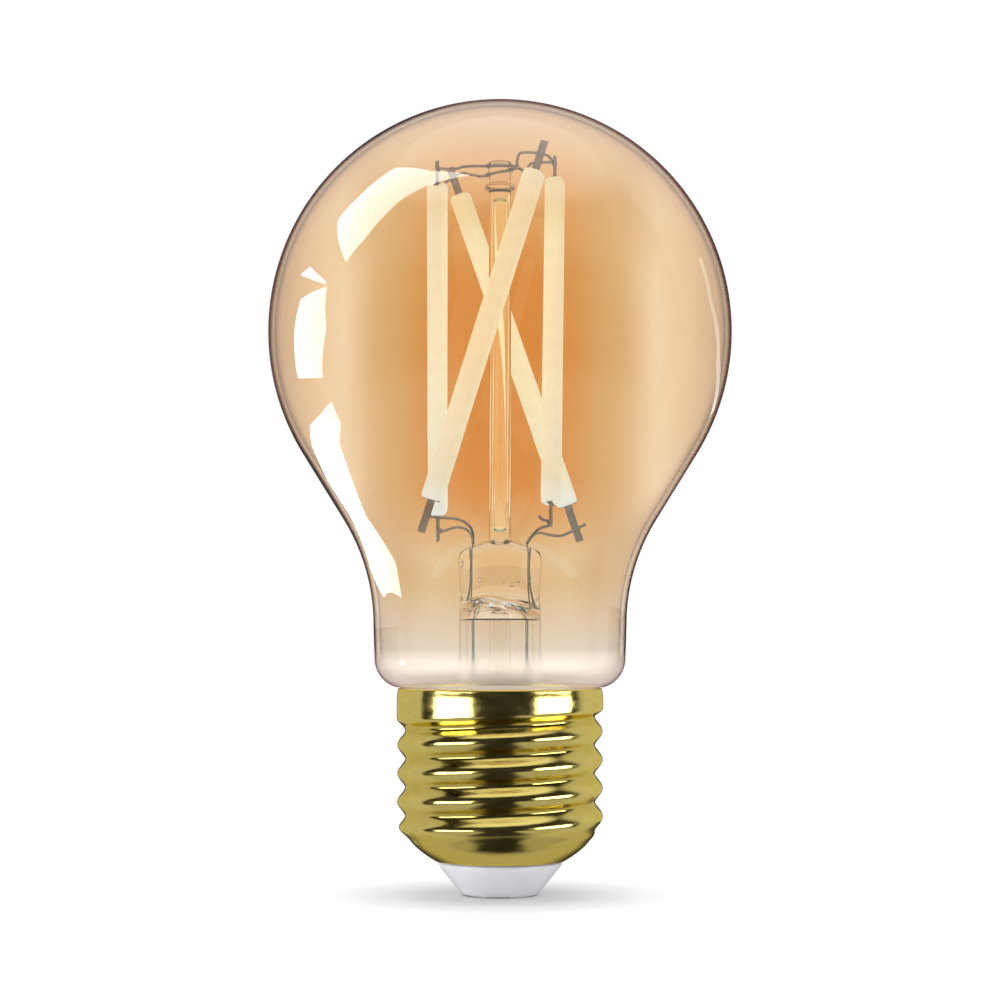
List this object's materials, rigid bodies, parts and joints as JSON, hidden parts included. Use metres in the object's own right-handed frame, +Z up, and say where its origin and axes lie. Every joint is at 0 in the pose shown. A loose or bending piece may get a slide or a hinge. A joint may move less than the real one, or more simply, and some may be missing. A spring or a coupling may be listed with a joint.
{
  "type": "smart filament light bulb",
  "caption": "Pear-shaped amber glass lamp with lit LED filaments around a glass rod, on a brass screw cap with a driver and radio inside.",
  "frame": {"origin": "middle of the centre contact's lower face", "axes": "+Z up the lamp's axis towards the crown, -Y towards the viewer of the lamp's front, +X to that viewer's right"},
  "size_m": [0.06, 0.06, 0.1024],
  "materials": {
    "amber_glass": "glossy, amber tinted and transparent, clear at the neck",
    "clear_glass": "glossy, clear",
    "phosphor": "satin silicone, glows warm white",
    "filament_ceramic": "matt white",
    "led_chip": "polished",
    "nickel_tab": "dull nickel plate",
    "nickel_wire": "drawn, dull",
    "brass_shell": "polished, pressed sheet",
    "white_insulator": "smooth white",
    "contact_metal": "satin nickel plate",
    "cap_cement": "matt, granular",
    "liner_film": "translucent film",
    "green_board": "solder mask, satin",
    "blue_board": "solder mask, satin",
    "gold_pins": "gold flash",
    "black_package": "moulded epoxy",
    "crystal_can": "brushed lid",
    "copper_wire": "enamelled copper",
    "surface_parts": "fired ceramic",
    "capacitor_can": "drawn can",
    "capacitor_sleeve": "shrunk film",
    "film_capacitor": "dipped box",
    "ferrite": "ground ferrite",
    "varistor": "dipped epoxy",
    "resistor_body": "flame-proof coating",
    "red_insulation": "extruded sleeve",
    "blue_insulation": "extruded sleeve",
    "solder": "bright solder"
  },
  "bodies": {
    "root": {"antenna_wire": "copper_wire", "board_link_pins": "gold_pins", "bridge_rectifier": "black_package", "bulk_capacitor": "capacitor_can", "cap_cement": "cap_cement", "cap_insulator": "white_insulator", "cap_liner": "liner_film", "cap_shell": "brass_shell", "capacitor_sleeve": "capacitor_sleeve", "centre_contact": "contact_metal", "centre_rod": "clear_glass", "channel_switches": "black_package", "driver_board": "green_board", "driver_chip": "black_package", "exhaust_tube": "clear_glass", "filament_front_chips": "led_chip", "filament_front_phosphor": "phosphor", "filament_front_substrate": "filament_ceramic", "filament_front_terminals": "nickel_tab", "filament_left_chips": "led_chip", "filament_left_phosphor": "phosphor", "filament_left_substrate": "filament_ceramic", "filament_left_terminals": "nickel_tab", "filament_rear_chips": "led_chip", "filament_rear_phosphor": "phosphor", "filament_rear_substrate": "filament_ceramic", "filament_rear_terminals": "nickel_tab", "filament_right_chips": "led_chip", "filament_right_phosphor": "phosphor", "filament_right_substrate": "filament_ceramic", "filament_right_terminals": "nickel_tab", "filter_capacitor": "film_capacitor", "fusible_resistor": "resistor_body", "glass_envelope": "amber_glass", "inductor_core": "ferrite", "inductor_winding": "copper_wire", "lead_solder_joints": "solder", "lead_wire_front": "nickel_wire", "lead_wire_left": "nickel_wire", "lead_wire_rear": "nickel_wire", "lead_wire_right": "nickel_wire", "line_wire": "red_insulation", "neutral_wire": "blue_insulation", "radio_board": "blue_board", "radio_chip": "black_package", "radio_crystal": "crystal_can", "rod_head": "clear_glass", "stem_flare": "clear_glass", "stem_press": "clear_glass", "support_wire_lower": "nickel_wire", "support_wire_upper": "nickel_wire", "surface_parts": "surface_parts", "surge_varistor": "varistor"}
  },
  "joints": []
}
